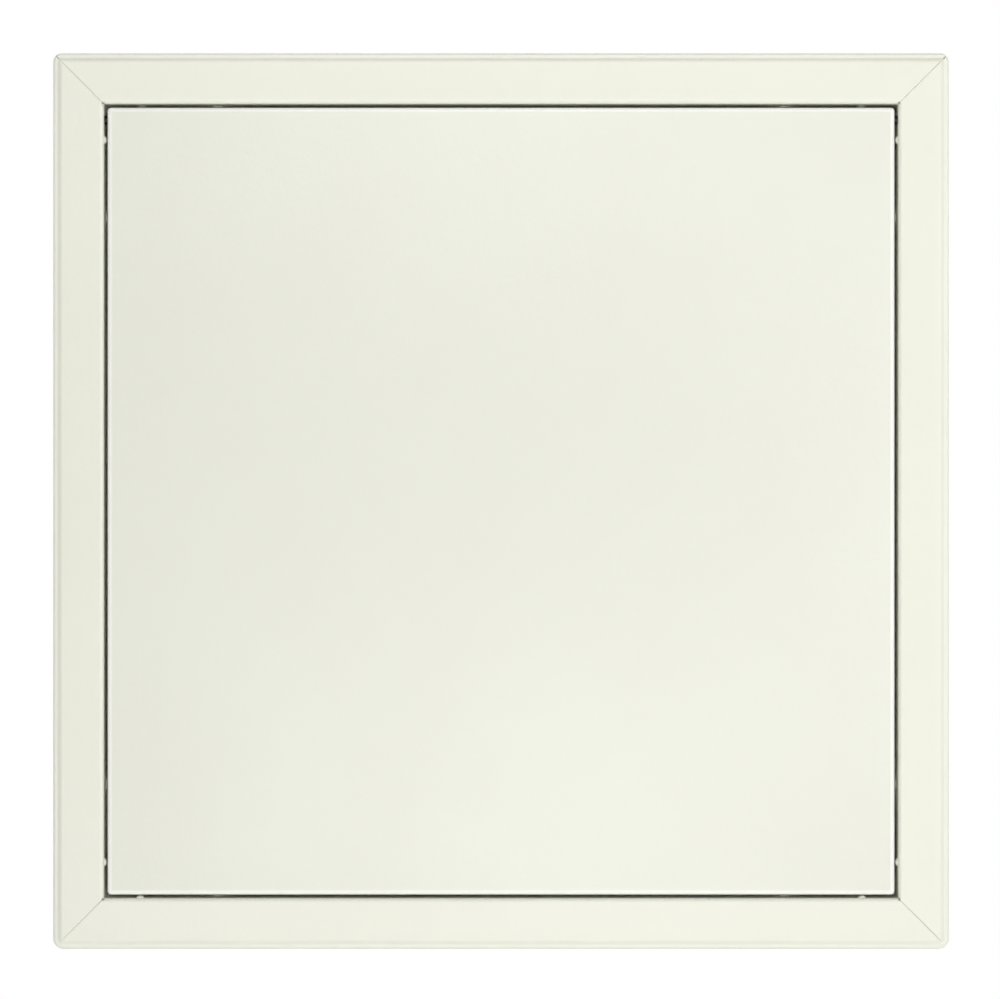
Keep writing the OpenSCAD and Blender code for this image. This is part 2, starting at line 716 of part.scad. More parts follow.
// Rivets that hold the strike plates, with a low head behind and a set head inside the tray
module strike_rivets() {
    set_head_r = (rivet_r + rivet_head_r) / 2;
    color(steel) for (end = ENDS, ear = ENDS) at_latch(end) translate([ear * rivet_x, 0, 0]) {
        translate([0, 0, strike_back_y])
            cylinder(r1 = rivet_head_r, r2 = rivet_r, h = rivet_head_h);
        translate([0, 0, door_back_y - door_t]) cylinder(r = rivet_r, h = door_t + strike_t);
        translate([0, 0, door_back_y - door_t - rivet_head_h])
            cylinder(r1 = rivet_r, r2 = set_head_r, h = rivet_head_h);
    }
}

frame_stick(TOP);  // frame_top
frame_stick(RIGHT);  // frame_right
frame_stick(BOTTOM);  // frame_bottom
frame_stick(LEFT);  // frame_left
corner_cleat(-1, 1);  // corner_cleat_top_left
corner_cleat(1, 1);  // corner_cleat_top_right
corner_cleat(-1, -1);  // corner_cleat_bottom_left
corner_cleat(1, -1);  // corner_cleat_bottom_right
gasket(TOP);  // gasket_top
gasket(RIGHT);  // gasket_right
gasket(BOTTOM);  // gasket_bottom
gasket(LEFT);  // gasket_left
hinge_bush(-1);  // hinge_bush_left
hinge_bush(1);  // hinge_bush_right
latch_housing(-1);  // latch_housing_left
latch_housing(1);  // latch_housing_right
latch_cap(-1);  // latch_cap_left
latch_cap(1);  // latch_cap_right
latch_screws();
door_leaf();
hinge_bracket(-1);  // hinge_bracket_left
hinge_bracket(1);  // hinge_bracket_right
strike_plate(-1);  // strike_plate_left
strike_plate(1);  // strike_plate_right
strike_rivets();
hinge_pin(-1);  // hinge_pin_left
hinge_pin(1);  // hinge_pin_right
pin_clip(-1);  // pin_clip_left
pin_clip(1);  // pin_clip_right
hinge_spring(-1);  // hinge_spring_left
hinge_spring(1);  // hinge_spring_right
latch_plunger(-1);  // latch_plunger_left
latch_plunger(1);  // latch_plunger_right
magnet(-1);  // magnet_left
magnet(1);  // magnet_right
latch_spring(-1);  // latch_spring_left
latch_spring(1);  // latch_spring_right
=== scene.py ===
# %% [markdown]
# # A ceiling access panel
# The real thing is a square steel frame that covers the edge of a hole in a ceiling, with a flush steel door in it.
# A rigid model of it is loaded first and stays where it is. This lesson dresses it: the sheet-metal pieces that
# show are folded again with finer bends, and every other piece gets a finish of its own.

# %% Load the rigid model
import json
import math

import bmesh
import bpy
from mathutils import Matrix, Vector, noise


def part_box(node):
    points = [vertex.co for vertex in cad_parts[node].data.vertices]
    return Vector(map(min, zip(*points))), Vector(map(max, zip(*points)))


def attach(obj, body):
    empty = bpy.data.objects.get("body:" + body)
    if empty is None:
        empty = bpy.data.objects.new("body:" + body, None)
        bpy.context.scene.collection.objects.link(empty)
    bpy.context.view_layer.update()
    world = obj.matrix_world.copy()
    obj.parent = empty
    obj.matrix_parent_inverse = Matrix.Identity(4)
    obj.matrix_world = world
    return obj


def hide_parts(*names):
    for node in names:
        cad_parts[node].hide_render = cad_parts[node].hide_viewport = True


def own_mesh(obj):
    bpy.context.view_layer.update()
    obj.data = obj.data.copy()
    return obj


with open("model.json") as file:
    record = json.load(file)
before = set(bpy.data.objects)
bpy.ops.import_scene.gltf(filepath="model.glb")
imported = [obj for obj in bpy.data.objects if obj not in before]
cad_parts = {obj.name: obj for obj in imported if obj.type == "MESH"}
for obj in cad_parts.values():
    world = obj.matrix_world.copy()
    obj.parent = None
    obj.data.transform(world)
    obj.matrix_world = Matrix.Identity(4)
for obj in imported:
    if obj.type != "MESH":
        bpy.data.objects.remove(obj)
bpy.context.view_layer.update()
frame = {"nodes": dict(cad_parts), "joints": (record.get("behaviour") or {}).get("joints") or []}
MM = 0.001
scene = bpy.context.scene

# %% [markdown]
# ## The camera
# The photograph looks straight at the face, and the edges of the frame run parallel, so the camera stood well back.
# A long lens two metres away does the same. Its focal length follows from the width of the picture at the face:
# sensor width is to focal length as picture width is to distance.

# %% Camera
door_low, door_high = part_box("door_leaf")
FACE_Y = door_low.y
view_distance = 2.0
view_width = 490.7 * MM
aim_x, aim_z = -0.5 * MM, 0.8 * MM
lens = bpy.data.cameras.new("long_lens")
lens.lens = lens.sensor_width * view_distance / view_width
camera = bpy.data.objects.new("camera", lens)
camera.location = (aim_x, FACE_Y - view_distance, aim_z)
camera.rotation_euler = (math.radians(90), 0, 0)
scene.collection.objects.link(camera)
scene.camera = camera
print("focal length", round(lens.lens, 1), "mm")

# %% [markdown]
# ## Wires, sums and ramps
# Light and finishes are node trees: boxes joined by wires. Three small helpers save typing. One draws a wire, one
# does a sum with numbers or wires, and one turns a value into a soft mask that grows from 0 to 1 between two limits.

# %% Node helpers
def link(tree, source, target):
    tree.links.new(source, target)


def math_node(tree, operation, *values):
    node = tree.nodes.new("ShaderNodeMath")
    node.operation = operation
    for value, socket in zip(values, node.inputs):
        if isinstance(value, (int, float)):
            socket.default_value = value
        else:
            link(tree, value, socket)
    return node.outputs[0]


def ramp_node(tree, value, low, high):
    node = tree.nodes.new("ShaderNodeMapRange")
    node.interpolation_type = "SMOOTHSTEP"
    node.inputs["From Min"].default_value = low
    node.inputs["From Max"].default_value = high
    link(tree, value, node.inputs["Value"])
    return node.outputs["Result"]


# %% [markdown]
# ## White surroundings
# The photograph's background is plain white, and the low rim of the frame mirrors it, while the room in front of the
# panel was dimmer. So the world is white behind the panel and dim in front of it, by the direction of a ray. The
# camera, and a see-through surface, may look either way in other views, and for them it is white all round.

# %% World
ROOM_LEVEL = 0.22
BACKDROP_FROM, BACKDROP_TO = -0.2, 0.1
world = bpy.data.worlds.new("white_studio")
world.use_nodes = True
tree = world.node_tree
tree.nodes.clear()
looking = tree.nodes.new("ShaderNodeSeparateXYZ")
link(tree, tree.nodes.new("ShaderNodeTexCoord").outputs["Generated"], looking.inputs[0])
behind = ramp_node(tree, looking.outputs["Y"], BACKDROP_FROM, BACKDROP_TO)
path = tree.nodes.new("ShaderNodeLightPath")
mirrored = math_node(tree, "MULTIPLY", path.outputs["Is Glossy Ray"], behind)
seen = math_node(tree, "MAXIMUM", path.outputs["Is Camera Ray"], path.outputs["Is Transmission Ray"])
shown = math_node(tree, "MAXIMUM", math_node(tree, "MAXIMUM", seen, mirrored), behind)
room = tree.nodes.new("ShaderNodeBackground")
room.inputs["Color"].default_value = (0.97, 0.98, 1.0, 1)
room.inputs["Strength"].default_value = ROOM_LEVEL
white = tree.nodes.new("ShaderNodeBackground")
white.inputs["Color"].default_value = (1, 1, 1, 1)
white.inputs["Strength"].default_value = 1.0
mix = tree.nodes.new("ShaderNodeMixShader")
link(tree, shown, mix.inputs["Fac"])
link(tree, room.outputs[0], mix.inputs[1])
link(tree, white.outputs[0], mix.inputs[2])
out = tree.nodes.new("ShaderNodeOutputWorld")
link(tree, mix.outputs[0], out.inputs["Surface"])
scene.world = world
scene.view_settings.view_transform = "Standard"
print("room level", ROOM_LEVEL, "with a white backdrop")

# %% [markdown]
# ## The floor
# A pale floor some way below the panel takes its soft shadow. Far from the panel the floor turns to plain white for
# the camera, so no horizon crosses the picture: a mask grows with the distance from the middle, in Object
# coordinates. From below the floor is clear, so that a camera under it still sees the panel.

# %% Floor
FLOOR_Z, FLOOR_RADIUS = -0.6, 14.0
FADE_FROM, FADE_TO = 0.7, 1.4
bm = bmesh.new()
bmesh.ops.create_circle(bm, cap_ends=True, segments=96, radius=FLOOR_RADIUS)
bmesh.ops.translate(bm, vec=(0, 0, FLOOR_Z), verts=bm.verts)
floor_mesh = bpy.data.meshes.new("floor")
bm.to_mesh(floor_mesh)
bm.free()
floor = bpy.data.objects.new("floor", floor_mesh)
scene.collection.objects.link(floor)
print("floor", round(-FLOOR_Z / MM), "mm below the middle of the panel")

# %% Floor finish
floor_finish = bpy.data.materials.new("pale_floor")
floor_finish.use_nodes = True
tree = floor_finish.node_tree
surface = tree.nodes["Principled BSDF"]
surface.inputs["Base Color"].default_value = (0.86, 0.86, 0.85, 1)
surface.inputs["Roughness"].default_value = 0.9
where = tree.nodes.new("ShaderNodeTexCoord")
far = tree.nodes.new("ShaderNodeVectorMath")
far.operation = "LENGTH"
link(tree, where.outputs["Object"], far.inputs[0])
distant = ramp_node(tree, far.outputs["Value"], FADE_FROM, FADE_TO)
path = tree.nodes.new("ShaderNodeLightPath")
fade = math_node(tree, "MULTIPLY", distant, path.outputs["Is Camera Ray"])
glow = tree.nodes.new("ShaderNodeEmission")
glow.inputs["Strength"].default_value = 1.0
glow.inputs["Color"].default_value = (1, 1, 1, 1)
mix = tree.nodes.new("ShaderNodeMixShader")
link(tree, fade, mix.inputs["Fac"])
link(tree, surface.outputs[0], mix.inputs[1])
link(tree, glow.outputs[0], mix.inputs[2])
clear = tree.nodes.new("ShaderNodeMixShader")
link(tree, tree.nodes.new("ShaderNodeNewGeometry").outputs["Backfacing"], clear.inputs["Fac"])
link(tree, mix.outputs[0], clear.inputs[1])
link(tree, tree.nodes.new("ShaderNodeBsdfTransparent").outputs[0], clear.inputs[2])
link(tree, clear.outputs[0], tree.nodes["Material Output"].inputs["Surface"])
floor_mesh.materials.append(floor_finish)
print("the floor is plain white from", FADE_TO, "m")

# %% [markdown]
# ## Soft studio light
# On the photograph the right side of the door is a little brighter than the left, the edges that face right, up and
# down shine, and those that face left stay grey. So a large softbox stands at the front right, a weaker one hangs
# above the camera, and a small one near the floor lifts the lower edge. Each points at the middle of the panel.

# %% Lights
def softbox(name, place, width, watts):
    lamp = bpy.data.lights.new(name, "AREA")
    lamp.shape = "SQUARE"
    lamp.size = width
    lamp.energy = watts
    lit = bpy.data.objects.new(name, lamp)
    lit.location = place
    lit.visible_camera = False
    lit.rotation_mode = "QUATERNION"
    lit.rotation_quaternion = (-Vector(place)).to_track_quat("-Z", "Y")
    scene.collection.objects.link(lit)
    print(name, "at", place, "with", watts, "W")


softbox("softbox_right", place=(1.0, -1.7, 0.05), width=0.9, watts=9.6)
softbox("softbox_above", place=(0.0, -1.4, 0.75), width=0.8, watts=6.6)
softbox("softbox_low", place=(0.0, -1.4, -0.52), width=0.7, watts=4.8)

# %% [markdown]
# ## Effects that several finishes share
# Real surfaces are never even. Two effects turn up on nearly every piece, so each is a node group that is built
# once: *fine relief* gives small bumps in two sizes and a patchy mask, and *handling marks* gives wide soft smudges
# and fine dust that settles on faces that look up. Both read Object coordinates, so a pattern keeps its real size.

# %% Group helpers
def new_group(name, inputs, outputs):
    group = bpy.data.node_groups.new(name, "ShaderNodeTree")
    for label, value in inputs:
        socket = group.interface.new_socket(name=label, in_out="INPUT", socket_type="NodeSocketFloat")
        socket.default_value = value
    for label in outputs:
        group.interface.new_socket(name=label, in_out="OUTPUT", socket_type="NodeSocketFloat")
    return group, group.nodes.new("NodeGroupInput"), group.nodes.new("NodeGroupOutput")


def noise_node(group, place, scale_socket, detail):
    texture = group.nodes.new("ShaderNodeTexNoise")
    texture.inputs["Detail"].default_value = detail
    link(group, place, texture.inputs["Vector"])
    link(group, scale_socket, texture.inputs["Scale"])
    return texture.outputs["Fac"]


# %% Fine relief
fine_relief, given, result = new_group(
    "fine_relief", [("Grain", 600.0), ("Wave", 40.0), ("Patches", 12.0)], ["Height", "Mottle"]
)
place = fine_relief.nodes.new("ShaderNodeTexCoord").outputs["Object"]
grain = noise_node(fine_relief, place, given.outputs["Grain"], detail=3.0)
wave = noise_node(fine_relief, place, given.outputs["Wave"], detail=1.0)
patch = noise_node(fine_relief, place, given.outputs["Patches"], detail=2.0)
link(fine_relief, math_node(fine_relief, "MULTIPLY_ADD", wave, 2.0, grain), result.inputs["Height"])
link(fine_relief, ramp_node(fine_relief, patch, low=0.2, high=0.8), result.inputs["Mottle"])
print("group", fine_relief.name, "with", len(fine_relief.nodes), "nodes")

# %% Handling marks
handling_marks, given, result = new_group(
    "handling_marks", [("Smudges", 9.0), ("Specks", 900.0)], ["Smudge", "Dust"]
)
place = handling_marks.nodes.new("ShaderNodeTexCoord").outputs["Object"]
smear = noise_node(handling_marks, place, given.outputs["Smudges"], detail=4.0)
link(handling_marks, ramp_node(handling_marks, smear, low=0.35, high=0.8), result.inputs["Smudge"])
speck = noise_node(handling_marks, place, given.outputs["Specks"], detail=2.0)
speck = ramp_node(handling_marks, speck, low=0.5, high=0.8)
facing = handling_marks.nodes.new("ShaderNodeSeparateXYZ")
link(handling_marks, handling_marks.nodes.new("ShaderNodeNewGeometry").outputs["Normal"], facing.inputs[0])
upward = ramp_node(handling_marks, facing.outputs["Z"], low=0.3, high=1.0)
link(handling_marks, math_node(handling_marks, "MULTIPLY", speck, upward), result.inputs["Dust"])
print("group", handling_marks.name, "with", len(handling_marks.nodes), "nodes")

# %% [markdown]
# ## Powder coat
# Frame and door are coated with a cream-white powder that melts into a satin skin. Up close it has a faint *orange
# peel*, wide low waves with fine grain on them, and its tone drifts a little. A plain white Principled shader would
# look like paper, so relief drives the normal, and soft masks shift colour and roughness slightly. Along the door's
# edges the colour turns whiter: this is a painted highlight where the door's bends catch the light, and a mask on
# the distance from the middle finds them.

# %% Finish helpers
def new_finish(name, metallic=0.0):
    finish = bpy.data.materials.new(name)
    finish.use_nodes = True
    shader = finish.node_tree.nodes["Principled BSDF"]
    shader.inputs["Metallic"].default_value = metallic
    return finish, finish.node_tree, shader


def add_group(tree, group, **values):
    node = tree.nodes.new("ShaderNodeGroup")
    node.node_tree = group
    for label, value in values.items():
        node.inputs[label].default_value = value
    return node


def mix_colour(tree, mask, first, second):
    node = tree.nodes.new("ShaderNodeMix")
    node.data_type = "RGBA"
    link(tree, mask, node.inputs["Factor"])
    for value, socket in ((first, node.inputs["A"]), (second, node.inputs["B"])):
        if isinstance(value, tuple):
            socket.default_value = (*value, 1)
        else:
            link(tree, value, socket)
    return node.outputs["Result"]


def mix_value(tree, mask, low, high):
    node = tree.nodes.new("ShaderNodeMapRange")
    node.inputs["To Min"].default_value = low
    node.inputs["To Max"].default_value = high
    link(tree, mask, node.inputs["Value"])
    return node.outputs["Result"]


def add_bump(tree, shader, height, strength, depth):
    node = tree.nodes.new("ShaderNodeBump")
    node.inputs["Strength"].default_value = strength
    node.inputs["Distance"].default_value = depth
    link(tree, height, node.inputs["Height"])
    link(tree, node.outputs["Normal"], shader.inputs["Normal"])


# %% Powder coat
# Inset, fade and colour of a painted highlight: a whiter band along the door's edges.
EDGE_HIGHLIGHT_INSET, EDGE_FADE = 2.6 * MM, 1.2 * MM
PAINTED_EDGE_HIGHLIGHT = (0.95, 0.955, 0.90)


def coated(name, tone, shade, highlight_from=None):
    finish, tree, shader = new_finish(name)
    relief = add_group(tree, fine_relief, Grain=800.0, Wave=240.0, Patches=11.0)
    marks = add_group(tree, handling_marks, Smudges=7.0, Specks=1100.0)
    colour = mix_colour(tree, relief.outputs["Mottle"], tone, shade)
    # Painted highlight: the colour turns whiter near the door's edges, where its bends catch the light.
    if highlight_from:
        across = tree.nodes.new("ShaderNodeSeparateXYZ")
        link(tree, tree.nodes.new("ShaderNodeTexCoord").outputs["Object"], across.inputs[0])
        sides = [math_node(tree, "ABSOLUTE", across.outputs[axis]) for axis in "XZ"]
        outermost = math_node(tree, "MAXIMUM", *sides)
        highlight_mask = ramp_node(tree, outermost, highlight_from, highlight_from + EDGE_FADE)
        colour = mix_colour(tree, highlight_mask, colour, PAINTED_EDGE_HIGHLIGHT)
    colour = mix_colour(tree, marks.outputs["Dust"], colour, (0.60, 0.59, 0.54))
    link(tree, colour, shader.inputs["Base Color"])
    link(tree, mix_value(tree, marks.outputs["Smudge"], low=0.28, high=0.34), shader.inputs["Roughness"])
    add_bump(tree, shader, relief.outputs["Height"], strength=0.9, depth=0.04 * MM)
    print("finish", name)
    return finish


frame_coat = coated("frame_powder_coat", tone=(0.840, 0.850, 0.738), shade=(0.828, 0.836, 0.724))
# The door's coat is a little darker than the frame's: painted shade, so the door's face looks dimmer than the frame
# beside it.
door_coat = coated(
    "door_powder_coat", tone=(0.820, 0.832, 0.730), shade=(0.808, 0.818, 0.714),
    highlight_from=door_high.x - EDGE_HIGHLIGHT_INSET,
)

# %% [markdown]
# ## Galvanised sheet
# Cleats, brackets and strike plates are cut from zinc-coated steel. Zinc freezes into flat crystals, the *spangle*:
# a cell texture gives each crystal its own brightness and roughness, and a fine grain keeps the metal from looking
# new.

# %% Galvanised sheet
galvanised, tree, shader = new_finish("galvanised_sheet", metallic=1.0)
place = tree.nodes.new("ShaderNodeTexCoord").outputs["Object"]
spangle = tree.nodes.new("ShaderNodeTexVoronoi")
spangle.inputs["Scale"].default_value = 260.0
link(tree, place, spangle.inputs["Vector"])
crystal = tree.nodes.new("ShaderNodeSeparateColor")
link(tree, spangle.outputs["Color"], crystal.inputs[0])
relief = add_group(tree, fine_relief, Grain=1800.0, Wave=300.0, Patches=60.0)
marks = add_group(tree, handling_marks, Smudges=40.0, Specks=1500.0)
colour = mix_colour(tree, crystal.outputs[0], (0.46, 0.48, 0.50), (0.66, 0.68, 0.69))
colour = mix_colour(tree, marks.outputs["Dust"], colour, (0.40, 0.39, 0.36))
link(tree, colour, shader.inputs["Base Color"])
link(tree, mix_value(tree, crystal.outputs[1], low=0.34, high=0.55), shader.inputs["Roughness"])
add_bump(tree, shader, relief.outputs["Height"], strength=0.25, depth=0.03 * MM)
print("finish", galvanised.name)

# %% [markdown]
# ## Drawn steel, plated and blackened
# Clips, springs, screws and rivets are drawn wire or turned rod with a thin zinc plating, and the hinge pins are
# blackened and oiled, so they do not show in the dark gap. Drawing leaves lines along the metal, here a noise that
# is stretched ten times along X by a Mapping node, and both finishes have clouds of another tone.

# %% Drawn steel
def drawn_steel(name, tone, cloud, smooth, rough):
    finish, tree, shader = new_finish(name, metallic=1.0)
    place = tree.nodes.new("ShaderNodeTexCoord").outputs["Object"]
    stretch = tree.nodes.new("ShaderNodeMapping")
    stretch.inputs["Scale"].default_value = (0.1, 1.0, 1.0)
    link(tree, place, stretch.inputs["Vector"])
    lines = tree.nodes.new("ShaderNodeTexNoise")
    lines.inputs["Scale"].default_value = 2500.0
    lines.inputs["Detail"].default_value = 2.0
    link(tree, stretch.outputs["Vector"], lines.inputs["Vector"])
    relief = add_group(tree, fine_relief, Grain=2500.0, Wave=500.0, Patches=180.0)
    link(tree, mix_colour(tree, relief.outputs["Mottle"], tone, cloud), shader.inputs["Base Color"])
    link(tree, mix_value(tree, lines.outputs["Fac"], smooth, rough), shader.inputs["Roughness"])
    add_bump(tree, shader, lines.outputs["Fac"], strength=0.15, depth=0.02 * MM)
    print("finish", name)
    return finish


bright_steel = drawn_steel(
    "bright_plated_steel", tone=(0.60, 0.61, 0.62), cloud=(0.50, 0.51, 0.53), smooth=0.20, rough=0.42
)
black_steel = drawn_steel(
    "blackened_steel", tone=(0.050, 0.050, 0.054), cloud=(0.028, 0.028, 0.030), smooth=0.34, rough=0.52
)

# %% [markdown]
# ## Foam, plastics and magnet
# The seal is black closed-cell foam: its cut skin is a net of tiny open cells, so a cell texture makes the relief.
# The latch bodies are grey plastic with the dull sparkle of an eroded mould, bushes and plungers are cream nylon,
# and the magnets are nickel plated with darker worn patches.

# %% Foam
foam, tree, shader = new_finish("closed_cell_foam")
place = tree.nodes.new("ShaderNodeTexCoord").outputs["Object"]
cells = tree.nodes.new("ShaderNodeTexVoronoi")
cells.inputs["Scale"].default_value = 1400.0
link(tree, place, cells.inputs["Vector"])
pore = ramp_node(tree, cells.outputs["Distance"], low=0.1, high=0.6)
marks = add_group(tree, handling_marks, Smudges=25.0, Specks=700.0)
colour = mix_colour(tree, pore, (0.010, 0.010, 0.011), (0.022, 0.022, 0.024))
colour = mix_colour(tree, marks.outputs["Dust"], colour, (0.10, 0.10, 0.09))
link(tree, colour, shader.inputs["Base Color"])
link(tree, mix_value(tree, pore, low=0.98, high=0.86), shader.inputs["Roughness"])
add_bump(tree, shader, pore, strength=0.6, depth=0.2 * MM)
print("finish", foam.name)

# %% Plastics
def moulded(name, tone, shade, rough, grain):
    finish, tree, shader = new_finish(name)
    relief = add_group(tree, fine_relief, Grain=grain, Wave=90.0, Patches=35.0)
    marks = add_group(tree, handling_marks, Smudges=45.0, Specks=1300.0)
    colour = mix_colour(tree, relief.outputs["Mottle"], tone, shade)
    colour = mix_colour(tree, marks.outputs["Dust"], colour, (0.52, 0.51, 0.47))
    link(tree, colour, shader.inputs["Base Color"])
    link(tree, mix_value(tree, marks.outputs["Smudge"], rough, rough + 0.14), shader.inputs["Roughness"])
    add_bump(tree, shader, relief.outputs["Height"], strength=0.3, depth=0.04 * MM)
    print("finish", name)
    return finish


grey_plastic = moulded(
    "eroded_grey_plastic", tone=(0.27, 0.285, 0.295), shade=(0.24, 0.255, 0.265), rough=0.52, grain=2600.0
)
white_nylon = moulded(
    "cream_nylon", tone=(0.70, 0.70, 0.66), shade=(0.66, 0.655, 0.60), rough=0.38, grain=1700.0
)

# %% Magnet
nickel, tree, shader = new_finish("nickel_plate", metallic=1.0)
relief = add_group(tree, fine_relief, Grain=1500.0, Wave=400.0, Patches=500.0)
worn = relief.outputs["Mottle"]
link(tree, mix_colour(tree, worn, (0.62, 0.58, 0.52), (0.34, 0.32, 0.30)), shader.inputs["Base Color"])
link(tree, mix_value(tree, worn, low=0.16, high=0.38), shader.inputs["Roughness"])
print("finish", nickel.name)

# %% [markdown]
# ## Turning a bmesh into a piece
# Each new piece is shaped in a bmesh in its final place and then handed to one helper, which makes the object and
# smooths its shading. Another ties a finished piece to the rigid model: it rides on a body and replaces the plain
# solid of a node.

# %% Objects and their places
def object_from(bm, name, finish=None):
    mesh = bpy.data.meshes.new(name)
    bm.to_mesh(mesh)
    bm.free()
    mesh.polygons.foreach_set("use_smooth", [True] * len(mesh.polygons))
    if finish:
        mesh.materials.append(finish)
    made = bpy.data.objects.new(name, mesh)
    scene.collection.objects.link(made)
    return made


def place_piece(piece, body, node):
    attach(piece, body)
    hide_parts(node)
    print(piece.name, "replaces", node, "with", len(piece.data.polygons), "faces")


# %% [markdown]
# ## Joining and drilling
# Holes could be built into a mesh face by face, but a drill is simpler: one Boolean takes all round holes out of a
# piece. Its exact solver wants closed meshes that do not run through themselves, so it works on pieces that are
# still plain.

# %% Booleans
HOLE_SIDES = 32


def combine(piece, bm, operation):
    """Joins the solids in bm to the piece, or cuts them out of it."""
    tool = object_from(bm, "tool")
    boolean = piece.modifiers.new("combine", "BOOLEAN")
    boolean.object = tool
    boolean.operation = operation
    boolean.solver = "EXACT"
    graph = bpy.context.evaluated_depsgraph_get()
    piece.data = bpy.data.meshes.new_from_object(piece.evaluated_get(graph))
    piece.modifiers.clear()
    bpy.data.objects.remove(tool)


def drill(piece, holes):
    """Cuts round holes, each given as (centre, axis, radius, depth)."""
    bm = bmesh.new()
    for centre, axis, radius, depth in holes:
        turn = Vector(axis).to_track_quat("Z", "Y").to_matrix().to_4x4()
        bmesh.ops.create_cone(
            bm, cap_ends=True, segments=HOLE_SIDES, radius1=radius, radius2=radius, depth=depth,
            matrix=Matrix.Translation(centre) @ turn,
        )
    combine(piece, bm, "DIFFERENCE")


# %% [markdown]
# ## Edges that catch the light
# A coat of paint rounds every cut edge a little. A Bevel modifier with an angle limit finds the sharp edges, and its
# hardened normals keep the flat faces flat. On a folded stick with many tiny faces that bevel would shrink to
# nothing, so there a Weighted Normal modifier lets the large faces set the shading at a bend.

# %% Edge helpers
SHARP = math.radians(35)


def soften(piece, width, angle=SHARP):
    bevel = piece.modifiers.new("painted_edges", "BEVEL")
    bevel.width = width
    bevel.segments = 2
    bevel.limit_method = "ANGLE"
    bevel.angle_limit = angle
    bevel.harden_normals = True


def shade_sheet(piece):
    """Splits the shading at sharp edges and keeps it flat on flat sheet."""
    piece.data.set_sharp_from_angle(angle=SHARP)
    weighted = piece.modifiers.new("flat_sheet", "WEIGHTED_NORMAL")
    weighted.keep_sharp = True


# %% [markdown]
# ## A folded frame stick
# Each side of the frame is one strip of steel, folded lengthways six times: a hem that lies on the ceiling, an outer
# wall, a low rim, a slope up to the flat border, a soft bend down into the jamb, and the stop lip at the back. A
# strip could be drawn as a finished outline, but folding is how it is really made: a few points give the fold lines,
# an extrusion gives the strip, a bevel of each fold line gives the bend, and solidify gives the sheet its thickness.
# A last small bevel takes the edge off the two long cuts.

# %% Sizes of the strip
HALF = 195 * MM
BORDER = 25 * MM
SHEET, CUT_EDGE = 1 * MM, 0.15 * MM
TINY = 0.001 * MM
FORWARD = Vector((0, -1, 0))
FACE_DEEP, RIM_DEEP, LIP_DEEP = FACE_Y / MM, -4.85, 16.0
HEM_BACK = (16.0, 0.0)
LIP_EDGE = ((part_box("frame_top")[0].z - HALF) / MM, LIP_DEEP)
FOLDS = [
    # in mm: outwards from the opening, depth, length of the bend on each side; then faces across the bend
    (BORDER / MM, 0.0, 1.05, 6),
    (BORDER / MM, RIM_DEEP, 1.4, 12),
    (22.5, RIM_DEEP, 0.55, 6),
    (21.0, FACE_DEEP, 0.9, 8),
    (0.0, FACE_DEEP, 2.0, 10),
    (0.0, LIP_DEEP, 1.0, 6),
]
print("a strip of", SHEET / MM, "mm sheet with", len(FOLDS), "folds")

# %% Fold a strip
def on_line(edge, out, deep):
    return all(abs(v.co.y - deep * MM) < TINY and abs(v.co.z - HALF - out * MM) < TINY for v in edge.verts)


def bend(bm, edges, width, steps):
    bmesh.ops.bevel(
        bm, geom=edges, offset=width, offset_type="OFFSET", segments=steps, profile=0.5, affect="EDGES",
        material=-1,
    )


def thicken(bm, front):
    """Gives a sheet its thickness on the side away from the direction that its largest face looks to."""
    bmesh.ops.remove_doubles(bm, verts=bm.verts, dist=TINY)
    bmesh.ops.recalc_face_normals(bm, faces=bm.faces)
    largest = max(bm.faces, key=lambda f: abs(f.normal.dot(front)) * f.calc_area())
    if largest.normal.dot(front) < 0:
        bmesh.ops.reverse_faces(bm, faces=bm.faces)
    bmesh.ops.solidify(bm, geom=bm.faces[:], thickness=SHEET)


def folded_strip(left, right):
    bm = bmesh.new()
    points = [HEM_BACK, *(fold[:2] for fold in FOLDS), LIP_EDGE]
    start = [bm.verts.new((left, deep * MM, HALF + out * MM)) for out, deep in points]
    edges = [bm.edges.new(pair) for pair in zip(start, start[1:])]
    drawn = bmesh.ops.extrude_edge_only(bm, edges=edges)["geom"]
    moved = [v for v in drawn if isinstance(v, bmesh.types.BMVert)]
    bmesh.ops.translate(bm, vec=(right - left, 0, 0), verts=moved)
    for out, deep, width, steps in FOLDS:
        bend(bm, [e for e in bm.edges if on_line(e, out, deep)], width * MM, steps)
    thicken(bm, FORWARD)
    along = [e for e in bm.edges if abs(e.verts[1].co.x - e.verts[0].co.x) > HALF]
    bend(bm, [e for e in along if e.calc_face_angle(0) > SHARP], CUT_EDGE, steps=2)
    return bm


# %% [markdown]
# ## Rounded corners
# At a frame corner the rim runs round a small radius, larger on the two lower corners. The end face of the thick
# strip is split level with the corner's centre, and its outer part is spun about that centre for a little more than
# an eighth of a turn. What lies further in stays straight, so the two sticks can be mitred there.

# %% Spin the ends of a strip
CORNER_TOP, CORNER_BOTTOM = 4.2 * MM, 5.3 * MM
SPIN_STEPS = 12
SPIN_ANGLE = math.radians(47)


def whole(bm):
    return bm.verts[:] + bm.edges[:] + bm.faces[:]


def spin_end(bm, end, turn):
    """Carries the outer part of a strip round the corner at its end, -1 or 1."""
    bmesh.ops.bisect_plane(bm, geom=whole(bm), dist=TINY / 10, plane_co=(0, 0, turn), plane_no=(0, 0, 1))
    faces = [
        f for f in bm.faces
        if all(abs(v.co.x - end * turn) < TINY and v.co.z > turn - TINY for v in f.verts)
    ]
    edges = dict.fromkeys(e for f in faces for e in f.edges)
    verts = dict.fromkeys(v for f in faces for v in f.verts)
    bmesh.ops.spin(
        bm, geom=[*faces, *edges, *verts], cent=(end * turn, 0, turn), axis=(0, end, 0), dvec=(0, 0, 0),
        angle=SPIN_ANGLE, steps=SPIN_STEPS,
    )
    bmesh.ops.remove_doubles(bm, verts=bm.verts, dist=TINY)


